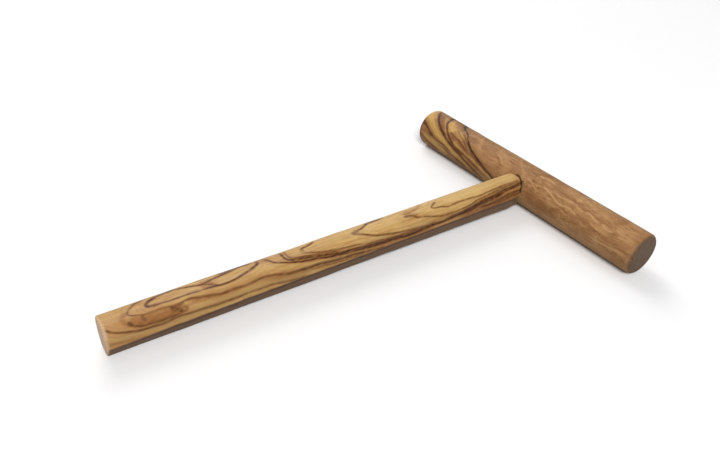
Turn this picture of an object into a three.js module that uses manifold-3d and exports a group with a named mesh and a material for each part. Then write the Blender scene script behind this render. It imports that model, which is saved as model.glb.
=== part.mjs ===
// Crepe batter spreader: a round wooden crossbar joined square to a hand-shaped handle.
// It lies as it is put down on a table, resting on the crossbar and on the handle's free end.
// X runs from the handle's free end to the crossbar, Y along the crossbar, and Z up. Sizes are in mm.
import * as THREE from 'three';
import { mergeVertices } from 'three/addons/utils/BufferGeometryUtils.js';
import Module from 'manifold-3d';

const wasm = await Module();
wasm.setup();

// Crossbar: a turned round bar with softened ends.
const CROSSBAR_RADIUS = 9.1;
const CROSSBAR_LENGTH = 127;
const CROSSBAR_EDGE_RADIUS = 2;

// Handle: the distance from the middle of its free end to the crossbar's axis. The end is sawn a little
// out of square, so it also runs on by these shares of the way across and up.
const HANDLE_REACH = 191.9;
const FREE_END_SLANT_ACROSS = 0.0735;
const FREE_END_SLANT_UP = -0.0533;
const HANDLE_EDGE_SOFTENING = 0.7;

// The handle's section is a tall block with round upper corners. Below a sharp edge on each side
// (the arris) the sides draw in to a narrower flat bottom. Close to the joint the lower corners are
// pared a little further back, so that only the upper part meets the bar at full width.
// Heights are above the table.
const SECTION_AT_CROSSBAR = {
  halfWidth: 5.5,
  bottomHalfWidth: 4.5,
  cornerRadius: 4,
  bottom: 1.4,
  arris: 7,
  top: 14.6,
};
const SECTION_AT_JOINT = { ...SECTION_AT_CROSSBAR, bottomHalfWidth: 3.8, arris: 8.4 };
const PARING_LENGTH = 4;
const SECTION_AT_FREE_END = {
  halfWidth: 5.35,
  bottomHalfWidth: 2.9,
  cornerRadius: 3.5,
  bottom: 0,
  arris: 4.7,
  top: 12.1,
};

// Hidden dowel pin that locks the coped end of the handle to the crossbar.
const DOWEL_RADIUS = 3;
const DOWEL_LENGTH = 24;
const DOWEL_CHAMFER = 0.8;
const DOWEL_CENTRE_INTO_HANDLE = 0.5;
const BORE_END_CLEARANCE = 0.8;

// Room for the glue between pieces.
const GLUE_GAP = 0.3;

// Fineness of the round surfaces.
const CROSSBAR_SIDES = 64;
const DOWEL_SIDES = 32;
const CORNER_DIVISIONS = 4;
const EDGE_DIVISIONS = 2;

// The origin is on the table, close to the middle of the whole tool, until the last step centres it.
const CROSSBAR_X = (HANDLE_REACH - CROSSBAR_RADIUS) / 2;
const FREE_END_X = CROSSBAR_X - HANDLE_REACH;
const DOWEL_X = CROSSBAR_X - CROSSBAR_RADIUS - DOWEL_CENTRE_INTO_HANDLE;
const BORE_LENGTH = DOWEL_LENGTH + 2 * BORE_END_CLEARANCE;

const crossbarWood = new THREE.MeshStandardMaterial({ color: 0xa87c52, roughness: 0.55, metalness: 0 });
const handleWood = new THREE.MeshStandardMaterial({ color: 0xcda46b, roughness: 0.5, metalness: 0 });
const dowelWood = new THREE.MeshStandardMaterial({ color: 0xdcc199, roughness: 0.7, metalness: 0 });

// Turns a closed three.js geometry into a solid that can be cut.
function toSolid(geometry) {
  const bare = geometry.clone();
  bare.deleteAttribute('normal');
  bare.deleteAttribute('uv');
  const merged = mergeVertices(bare);
  const corners = merged.index.array;
  const triVerts = [];
  for (let first = 0; first < corners.length; first += 3) {
    const [a, b, c] = corners.slice(first, first + 3);
    if (a !== b && b !== c && c !== a) {
      triVerts.push(a, b, c);
    }
  }
  return new wasm.Manifold(new wasm.Mesh({
    numProp: 3,
    vertProperties: Float32Array.from(merged.attributes.position.array),
    triVerts: Uint32Array.from(triVerts),
  }));
}

function toGeometry(solid) {
  const { vertProperties, triVerts } = solid.getMesh();
  const geometry = new THREE.BufferGeometry();
  geometry.setAttribute('position', new THREE.BufferAttribute(vertProperties, 3));
  geometry.setIndex(new THREE.BufferAttribute(triVerts, 1));
  geometry.computeVertexNormals();
  return geometry;
}

// A round solid turned about Y through the origin, with rounded or chamfered ends.
function turnedBar(radius, length, edge, edgeDivisions, sides) {
  const half = length / 2;
  const profile = new THREE.Path();
  profile.moveTo(0, -half);
  profile.lineTo(radius - edge, -half);
  profile.absarc(radius - edge, edge - half, edge, -Math.PI / 2, 0);
  profile.absarc(radius - edge, half - edge, edge, 0, Math.PI / 2);
  profile.lineTo(0, half);
  return new THREE.LatheGeometry(profile.getPoints(edgeDivisions), sides);
}

// A plain round cutter along X, DOWEL_RADIUS wide with room for glue.
function dowelBore() {
  const radius = DOWEL_RADIUS + GLUE_GAP;
  const bore = new THREE.CylinderGeometry(radius, radius, BORE_LENGTH, DOWEL_SIDES);
  bore.rotateZ(Math.PI / 2);
  bore.translate(DOWEL_X, 0, CROSSBAR_RADIUS);
  return toSolid(bore);
}

function sectionPoints(section) {
  const { halfWidth, bottomHalfWidth, cornerRadius, bottom, arris, top } = section;
  const outline = new THREE.Path();
  outline.moveTo(-bottomHalfWidth, bottom);
  outline.lineTo(bottomHalfWidth, bottom);
  outline.lineTo(halfWidth, arris);
  outline.absarc(halfWidth - cornerRadius, top - cornerRadius, cornerRadius, 0, Math.PI / 2);
  outline.absarc(cornerRadius - halfWidth, top - cornerRadius, cornerRadius, Math.PI / 2, Math.PI);
  outline.lineTo(-halfWidth, arris);
  return outline.getPoints(CORNER_DIVISIONS);
}

// Where the handle's sections stand along X, and how far each is drawn in to soften the end's edges.
function handleStations() {
  const stations = [];
  for (let step = 0; step <= EDGE_DIVISIONS; step += 1) {
    const angle = (step / EDGE_DIVISIONS) * (Math.PI / 2);
    stations.push({
      x: FREE_END_X + HANDLE_EDGE_SOFTENING * (1 - Math.cos(angle)),
      inset: HANDLE_EDGE_SOFTENING * (1 - Math.sin(angle)),
      slant: 1,
      pared: 0,
    });
  }
  const joint = CROSSBAR_X - CROSSBAR_RADIUS;
  stations.push({ x: joint - PARING_LENGTH, inset: 0, slant: 0, pared: 0 });
  stations.push({ x: joint, inset: 0, slant: 0, pared: 1 });
  stations.push({ x: CROSSBAR_X, inset: 0, slant: 0, pared: 1 });
  return stations;
}

// The handle before its end is coped: one section at each station.
function handleBlank() {
  const stations = handleStations();
  const steps = stations.length - 1;
  const freeEnd = sectionPoints(SECTION_AT_FREE_END);
  const atCrossbar = sectionPoints(SECTION_AT_CROSSBAR);
  const atJoint = sectionPoints(SECTION_AT_JOINT);
  const blank = new THREE.ExtrudeGeometry(new THREE.Shape(atCrossbar), {
    depth: steps,
    steps,
    bevelEnabled: false,
  });
  const position = blank.attributes.position;
  const corner = new THREE.Vector2();
  for (let vertex = 0; vertex < position.count; vertex += 1) {
    corner.set(position.getX(vertex), position.getY(vertex));
    const point = nearestPoint(atCrossbar, corner);
    const { x, inset, slant, pared } = stations[Math.round(position.getZ(vertex))];
    const along = (x - FREE_END_X) / (CROSSBAR_X - FREE_END_X - CROSSBAR_RADIUS);
    const place = freeEnd[point].clone().lerp(atCrossbar[point], along);
    place.lerp(atJoint[point], pared);
    const middle = new THREE.Vector2(0, SECTION_AT_FREE_END.top / 2);
    place.lerp(middle, inset / SECTION_AT_FREE_END.halfWidth);
    const runOn = FREE_END_SLANT_ACROSS * place.x + FREE_END_SLANT_UP * (place.y - middle.y);
    position.setXYZ(vertex, x + slant * runOn, place.x, place.y);
  }
  return toSolid(blank);
}

function nearestPoint(points, target) {
  const distances = points.map((point) => point.distanceTo(target));
  return distances.indexOf(Math.min(...distances));
}

// The round bar plus the glue gap, which shapes the handle's coped end.
function copeCutter() {
  const radius = CROSSBAR_RADIUS + GLUE_GAP;
  const cutter = new THREE.CylinderGeometry(radius, radius, CROSSBAR_LENGTH, CROSSBAR_SIDES);
  cutter.translate(CROSSBAR_X, 0, CROSSBAR_RADIUS);
  return toSolid(cutter);
}

function makeCrossbar() {
  const bar = turnedBar(CROSSBAR_RADIUS, CROSSBAR_LENGTH, CROSSBAR_EDGE_RADIUS, EDGE_DIVISIONS, CROSSBAR_SIDES);
  bar.translate(CROSSBAR_X, 0, CROSSBAR_RADIUS);
  return new THREE.Mesh(toGeometry(toSolid(bar).subtract(dowelBore())), crossbarWood);
}

function makeHandle() {
  const coped = handleBlank().subtract(copeCutter());
  return new THREE.Mesh(toGeometry(coped.subtract(dowelBore())), handleWood);
}

function makeDowelPin() {
  const pin = turnedBar(DOWEL_RADIUS, DOWEL_LENGTH, DOWEL_CHAMFER, 1, DOWEL_SIDES);
  pin.rotateZ(Math.PI / 2);
  const mesh = new THREE.Mesh(toGeometry(toSolid(pin)), dowelWood);
  mesh.position.set(DOWEL_X, 0, CROSSBAR_RADIUS);
  return mesh;
}

const spreader = new THREE.Group();
const pieces = { crossbar: makeCrossbar(), handle: makeHandle(), dowel_pin: makeDowelPin() };
for (const [name, mesh] of Object.entries(pieces)) {
  mesh.name = name;
  spreader.add(mesh);
}
const extent = new THREE.Box3().setFromObject(spreader);
spreader.position.x = -(extent.min.x + extent.max.x) / 2;

export default spreader;
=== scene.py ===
"""Crepe batter spreader in olive wood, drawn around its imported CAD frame.

A round crossbar is glued and pinned to the coped end of a softly squared handle.
Shapes and grain are given in millimetres; meshes, lights and camera are in metres.
"""

import math

import bmesh
import bpy
import numpy as np
from mathutils import Matrix, Vector

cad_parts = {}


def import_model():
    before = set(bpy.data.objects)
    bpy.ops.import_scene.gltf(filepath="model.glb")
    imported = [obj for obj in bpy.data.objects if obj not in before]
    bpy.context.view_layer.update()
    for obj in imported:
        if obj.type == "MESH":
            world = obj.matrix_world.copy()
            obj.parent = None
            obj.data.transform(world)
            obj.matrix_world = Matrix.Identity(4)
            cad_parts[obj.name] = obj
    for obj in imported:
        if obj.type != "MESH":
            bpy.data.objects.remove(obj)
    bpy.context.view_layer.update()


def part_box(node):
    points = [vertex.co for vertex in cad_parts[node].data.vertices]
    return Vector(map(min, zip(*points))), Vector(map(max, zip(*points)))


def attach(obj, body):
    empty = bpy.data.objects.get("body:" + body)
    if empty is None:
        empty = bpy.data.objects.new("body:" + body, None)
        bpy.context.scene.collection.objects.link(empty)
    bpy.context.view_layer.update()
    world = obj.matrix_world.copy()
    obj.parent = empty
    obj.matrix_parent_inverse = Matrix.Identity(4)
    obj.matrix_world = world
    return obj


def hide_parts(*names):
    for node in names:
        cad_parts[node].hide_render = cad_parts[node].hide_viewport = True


MM = 0.001

# ------------ shapes, in mm

# Handle sections, with heights above the table.
SECTION_AT_CROSSBAR = {
    "half_width": 5.5,
    "bottom_half_width": 4.5,
    "corner_radius": 4.0,
    "bottom": 1.4,
    "arris": 7.0,
    "top": 14.6,
}
SECTION_AT_FREE_END = {
    "half_width": 5.35,
    "bottom_half_width": 2.9,
    "corner_radius": 3.5,
    "bottom": 0.0,
    "arris": 4.7,
    "top": 12.1,
}
# Close to the joint the lower corners are pared a little further back.
SECTION_AT_JOINT = {**SECTION_AT_CROSSBAR, "bottom_half_width": 3.8, "arris": 8.4}
PARING_LENGTH = 4.0
# The free end is sawn a little out of square: how far it runs on per mm across and up.
FREE_END_SLANT = (0.0735, -0.0533)
HANDLE_REACH = 191.9
ARRIS_RADIUS = 0.6
BOTTOM_EDGE_RADIUS = 0.9
FREE_END_EDGE_RADIUS = 0.7
END_DOME = 0.1
HANDLE_RINGS = 560
HANDLE_WOBBLE = 0.07
HANDLE_WAVES = ((46, 9, 9), (14, 4, 4))
WOBBLE_FADE = 12
COPE_CLEARANCE = 0.05
COPE_EDGE_RADIUS = 0.12
COPE_RINGS = 9
JOINT_OPENING = 0.42
GLUE_SIDES = 8
GLUE_BEAD = 0.035
GLUE_SWELL = 0.3
GLUE_DEPTH = 0.16

CROSSBAR_EDGE_RADIUS = 2.0
CROSSBAR_RINGS = 460
CROSSBAR_SIDES = 190
CROSSBAR_WOBBLE = 0.05
CROSSBAR_WAVES = ((38, 10, 10), (12, 5, 5))
END_FACE_WAVES = (5, 5, 5)
END_FACE_UNEVENNESS = 0.0009
END_FACE_RINGS = 14
EDGE_STEPS = 7

DOWEL_RADIUS = 3.0
DOWEL_LENGTH = 24.0
DOWEL_CHAMFER = 0.8
DOWEL_FLUTES = 14
DOWEL_FLUTE_DEPTH = 0.14
SIDES_PER_FLUTE = 10
DOWEL_RINGS = 40
DOWEL_END_RINGS = 6
DOWEL_CENTRE_INTO_HANDLE = 0.5
BORE_RADIUS = 3.3
BORE_END_CLEARANCE = 0.8
BORE_RINGS = 5
BORE_CUTTER_SIDES = 48

# An edge sharper than this, in degrees, stays crisp.
SHARP_ANGLE = 38

# The figure is drawn on each piece's front upper side and carried on through the wood from there.
# A place across it is the first share of a point's way sideways plus the second of its way up.
HANDLE_ACROSS = (0.673, 0.740)
CROSSBAR_ACROSS = (0.5376, 0.8432)

# The handle's figured face: how deep it lies at each place across.
HANDLE_FACE_ACROSS = (-6.4, -4.6, -1.7, 0.8, 3.2, 5.7, 6.6)
HANDLE_FACE_DEPTH = (1.9, -3.1, -5.7, -6.6, -5.4, -2.7, -0.2)
FIGURE_LENGTH = 182.3
# Below a skin the figure leans along the piece and sways, by so much per mm, up to the reach.
HANDLE_GRAIN = {"skin": 0.6, "lean": 0.5, "sway": 0.05}
CROSSBAR_GRAIN = {"skin": 0.3, "lean": 0.45, "sway": 0.06}
GRAIN_REACH = 20

# How far the handling wear spreads from each edge, and the warm tint from the free end.
HANDLE_WEAR = {"arris": 0.6, "bottom": 0.8, "end": 0.9}
CROSSBAR_WEAR = 1.5
WARM_LENGTH = 75

# ------------ grain figure
# Each stroke: (kind, width in mm, strength, ((along, across), ...)).
# Along the handle is measured from its free end. Along the crossbar is Y.

HANDLE_FIGURE = (
    # Free end: the long sweep below, and the smudged heart with its loops.
    ("dark", 0.57, 0.62, ((-3, 3.2), (0, 1.6), (2, 0.4), (4, -0.6), (7, -1.5), (11, -2.1), (16, -2.4))),
    ("dark", 0.66, 0.5, ((11, -2.1), (18, -2.4), (25, -2.3), (35, -2.8), (44, -2.9), (50, -2.7))),
    ("dark", 0.57, 0.45, ((48, -2.7), (56, -2.9), (61, -3.5), (66, -4.1), (74, -4.5))),
    ("stain", 0.9, 0.55, ((-4, -2.2), (0, -2.8), (5, -3.6), (12, -4.3))),
    ("dark", 0.41, 0.6, ((16, 6.6), (12, 6.2), (10.2, 5.4), (9, 4.6), (8.6, 3.8), (9.4, 3), (12, 2.4))),
    ("dark", 0.41, 0.4, ((11, 2.5), (15, 2.1), (19, 1.9), (22, 1.7))),
    ("stain", 1.4, 0.7, ((8.8, 4.6), (6.8, 3.6), (6.2, 2.4), (6.9, 1.2), (8.4, 0.2))),
    ("dark", 0.74, 0.5, ((7, 1.4), (8.2, 0.1), (11, -0.8), (16, -1.2), (21, -1.4), (24.4, -1.3))),
    ("stain", 2.8, 0.68, ((7.4, 0.9), (11, 0.9), (16, 0.7), (21, 0.4), (26, -0.2))),
    ("stain", 1.8, 0.65, ((9, -0.3), (14, -0.6), (20, -0.8), (25, -0.9))),
    ("dark", 0.98, 0.4, ((7.2, 1.5), (8, 0.7), (8.4, 0.1))),
    ("dark", 1.07, 0.45, ((12.4, 2.4), (12.2, 1.2), (13.2, 0.2))),
    ("dark", 0.82, 0.52, ((20.4, 1.3), (22, 1.4), (24, 1.5), (26, 1.8))),
    ("dark", 1.39, 0.55, ((20.6, 1.2), (22, 0.5), (23.6, -0.2), (24.8, -0.6))),
    ("dark", 0.74, 0.38, ((24.8, 0.6), (26.2, -0.2), (25.8, -1), (23.6, -1.3))),
    ("dark", 0.74, 0.52, ((25, 1.8), (28, 1.9), (32, 1.2), (36, 0.5), (40, 0.1), (48, -0.1))),
    ("stain", 1.8, 0.6, ((27, 1.7), (32, 1), (37, 0.2), (46, -0.3))),
    # The crisp inner loop and the pale lens.
    ("dark", 0.7, 0.85, ((18.6, 6.2), (16.6, 5.7), (15.2, 5), (14.8, 4.3), (16.4, 3.8), (18, 3.7))),
    ("dark", 0.49, 0.66, ((17, 6), (21, 6.4), (26, 6.5))),
    ("dark", 0.37, 0.72, ((16.5, 3.8), (20, 3.5), (24, 3.6), (29, 3.5), (34, 3.3))),
    ("dark", 0.49, 0.92, ((33, 3.4), (37, 3), (40, 2.8), (44, 3), (48, 3.7), (52.4, 4.5))),
    ("dark", 0.61, 0.9, ((51, 4.3), (53.6, 4.9), (55, 5.5), (55.3, 6.4))),
    ("dark", 0.37, 0.85, ((25, 6.3), (28, 6), (31, 5.4), (34, 5.1), (38, 5.5), (42, 6), (50, 6.5))),
    ("dark", 0.57, 0.5, ((34, 5), (36, 4.3), (37.4, 3.6), (38.8, 3))),
    ("stain", 2.2, 0.7, ((33, 4.7), (35.6, 4.3), (37.6, 3.6))),
    ("dark", 0.66, 0.7, ((40, 6.6), (46, 6.5), (54, 6.6))),
    ("stain", 1.4, 0.6, ((54, 5.9), (57, 5.9), (60, 5.5))),
    # Lines that sweep from the top edge down into the dark bundle.
    ("dark", 0.53, 0.82, ((57.2, 6.4), (59.2, 5), (60.6, 3.9), (63, 2.9), (66, 2))),
    ("dark", 0.61, 0.9, ((64, 2.5), (68, 1.5), (72, 0.8), (76, 0.2), (80, -0.5), (85, -1.1), (91, -1.9))),
    ("dark", 0.9, 0.78, ((64.8, 6.6), (64.8, 5.2), (64.8, 4.2), (65.4, 3.3), (67.4, 2.6))),
    ("dark", 0.49, 0.55, ((66.4, 6.6), (66.2, 5), (66.6, 3.8), (69, 3), (73, 2.4))),
    ("dark", 0.61, 0.8, ((66, 2.9), (70, 2.2), (74, 1.4), (78, 0.7), (82, 0), (87, -0.8), (93, -1.2))),
    ("dark", 0.45, 0.55, ((70, 2.7), (75, 1.9), (80, 1), (86, 0.1))),
    ("stain", 2.2, 0.62, ((66, 2.6), (72, 1.6), (80, 0.2), (88, -0.9), (94, -1.4))),
    ("dark", 0.49, 0.58, ((71.4, 3.7), (76, 2.6), (80, 1.7), (85, 0.9), (90, 0.4), (96, -0.4))),
    ("dark", 0.41, 0.8, ((79, 6.5), (75.5, 5.8), (73, 5.4), (72, 4.9))),
    ("stain", 1.2, 0.6, ((71.6, 5.2), (72.2, 4.6), (73, 4.2))),
    ("dark", 0.74, 0.5, ((44, -0.1), (50, 0.2), (55, 0.4), (58, 0), (62, -1), (66, -1.5), (70, -1.6))),
    ("dark", 0.74, 0.62, ((67, -1.6), (71, -1.6), (76, -2), (81, -2.4), (87, -2.8), (94, -3.4),
                          (100, -3.9))),
    ("stain", 1.8, 0.55, ((48, 0), (54, 0.2), (60, -0.7), (68, -1.8), (77, -2.3), (90, -3.4))),
    ("dark", 0.41, 0.35, ((74, -2.9), (82, -3.4), (90, -3.9), (98, -4.3))),
    # The blotched V tips further up the handle.
    ("dark", 0.49, 0.78, ((112, 6.5), (104, 6.3), (101.6, 5.9), (99.6, 5.3), (97, 4.9))),
    ("dark", 0.82, 0.5, ((93.8, 4.2), (95.4, 4.7), (97.6, 4.9))),
    ("dark", 0.9, 0.5, ((94.6, 4.3), (96.4, 3.6), (98.2, 2.8))),
    ("dark", 0.66, 0.66, ((97, 3.3), (99.4, 2.1), (102, 1.2), (105, 0.4), (109, -0.3), (114, -1))),
    ("dark", 0.57, 0.5, ((112, -0.8), (118, -1.5), (125, -2), (133, -2.2))),
    ("stain", 0.8, 0.6, ((131, 6.3), (128, 5.7), (124, 5.1), (119.5, 4.8))),
    ("dark", 0.74, 0.58, ((118.4, 3.7), (120.6, 3.8), (122.4, 3.2), (124.2, 2))),
    ("stain", 2.2, 0.7, ((119.6, 4.2), (122.6, 3.5), (125, 2.5))),
    ("dark", 0.53, 0.58, ((123, 2.1), (127, 1.5), (130, 0.7), (133, -0.1), (138, -0.8), (146, -0.9))),
    ("dark", 0.49, 0.66, ((137.5, 5.5), (135.4, 5.1), (133.8, 4.5), (132.8, 4))),
    ("dark", 0.49, 0.64, ((132.8, 4), (134.8, 3.3), (137.2, 2.8), (139.6, 2.2), (141, 2.1))),
    ("dark", 0.45, 0.6, ((140, 2.2), (146, 2.4), (150, 2.4), (155, 2.1), (160, 2), (166, 2.4), (188, 3))),
    # The dark bundle along the near side, rising to the joint.
    ("dark", 0.57, 0.82, ((86, -0.9), (92, -1.1), (98, -1.6), (104, -2.1), (110, -2.4), (118, -2.8))),
    ("dark", 0.61, 0.85, ((90, -1.7), (96, -2.1), (103, -2.6), (110, -2.9), (118, -3.3), (126, -3.3))),
    ("dark", 0.49, 0.5, ((94, -0.6), (102, -1.2), (110, -1.8), (118, -2.2), (128, -2.6), (136, -2.5))),
    ("dark", 0.74, 0.85, ((114, -2.9), (122, -3.1), (130, -3), (138, -2.9), (144, -2.7), (150, -2.4))),
    ("stain", 2, 0.66, ((92, -1.5), (102, -2.2), (112, -2.8), (124, -3.1), (138, -2.9))),
    ("stain", 1.2, 0.5, ((96, -3.4), (106, -3.9), (116, -4.2), (130, -4.1))),
    ("dark", 0.41, 0.45, ((88, -2.5), (95, -3.2), (101, -3.8), (108, -4.3))),
    ("dark", 0.98, 0.62, ((138, -2.4), (145, -2.1), (151, -1.8), (156, -1), (160, -0.4))),
    ("dark", 1.23, 0.82, ((146, -2.7), (152, -2.3), (157, -1.6), (162, -1.1), (167, -0.7), (172, -0.2))),
    ("dark", 0.66, 0.85, ((158, -0.5), (164, -0.1), (170, 0.5), (176, 0.8), (188, 1.6))),
    ("dark", 0.57, 0.8, ((166, -1), (171, -0.4), (176, 0.1), (188, 1))),
    ("stain", 1.8, 0.7, ((146, -2.4), (156, -1.5), (166, -0.5), (176, 0.5), (188, 1.3))),
    ("dark", 0.49, 0.6, ((144, -0.9), (150, -0.6), (153, -0.2), (156, 0.4), (162, 0.8), (170, 1.4),
                         (188, 2.3))),
    ("dark", 0.41, 0.4, ((163, 1.3), (170, 1.9), (176, 2.1), (188, 2.6))),
    ("dark", 0.74, 0.7, ((158, -2.7), (164, -3), (169, -2.5), (174, -2), (188, -1.2))),
    ("dark", 0.57, 0.55, ((166, -3.6), (173, -3.2), (188, -2.4))),
    ("stain", 3, 0.85, ((146, -3.5), (160, -3), (172, -2.4), (188, -1.6))),
    ("stain", 2.4, 0.85, ((158, -4.3), (168, -4), (178, -3.6), (188, -3.4))),
    # The shaded line just below the arris, and faint lines on the lower facet.
    ("dark", 0.49, 0.62, ((-4, -4.9), (45, -4.85), (90, -4.8), (135, -4.7), (188, -4.7))),
    ("stain", 0.9, 0.35, ((-4, -5.2), (30, -5.5), (70, -5.3), (110, -5.7))),
    ("stain", 0.8, 0.35, ((60, -6.1), (100, -6.3), (150, -5.7), (188, -5.2))),
    # Clear pale wood between the lines.
    ("pale", 1.4, 0.45, ((39, 4.2), (46, 4.9), (51, 5.4))),
    ("pale", 1, 0.55, ((19, 2.6), (26, 2.7), (33, 2.3), (42, 1.6), (50, 2.2))),
    ("pale", 2, 0.4, ((50, 2.2), (56, 3.4), (59, 2.4))),
    ("pale", 2.6, 0.35, ((68, 5.5), (80, 4.2), (90, 3.2))),
    ("pale", 3.4, 0.6, ((99, 4.3), (106, 3.6), (116, 2.6))),
    ("pale", 1, 0.5, ((60, 1.3), (70, -0.3), (80, -1.6), (88, -2.2))),
    ("pale", 1.6, 0.4, ((130, 2.2), (140, 0.8), (152, 1.2))),
    ("pale", 3, 0.65, ((140, 5), (160, 4.6), (188, 5.4))),
    ("pale", 1.4, 0.45, ((27, -0.9), (36, -1.3), (46, -1.5), (58, -1.6))),
    ("pale", 1.2, 0.45, ((-3, -0.2), (0, -1.6), (6, -2.9), (14, -3.4), (30, -3.7), (45, -3.9))),
    ("gold", 0.6, 0.45, ((168, -1.7), (173, -1.1), (178, -0.6), (188, 0.1))),
    ("gold", 0.6, 0.6, ((160, 0.4), (167, 0.9), (174, 1.5), (188, 2.1))),
    ("gold", 0.5, 0.55, ((100, -0.9), (108, -1.3), (118, -1.8))),
)

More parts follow.
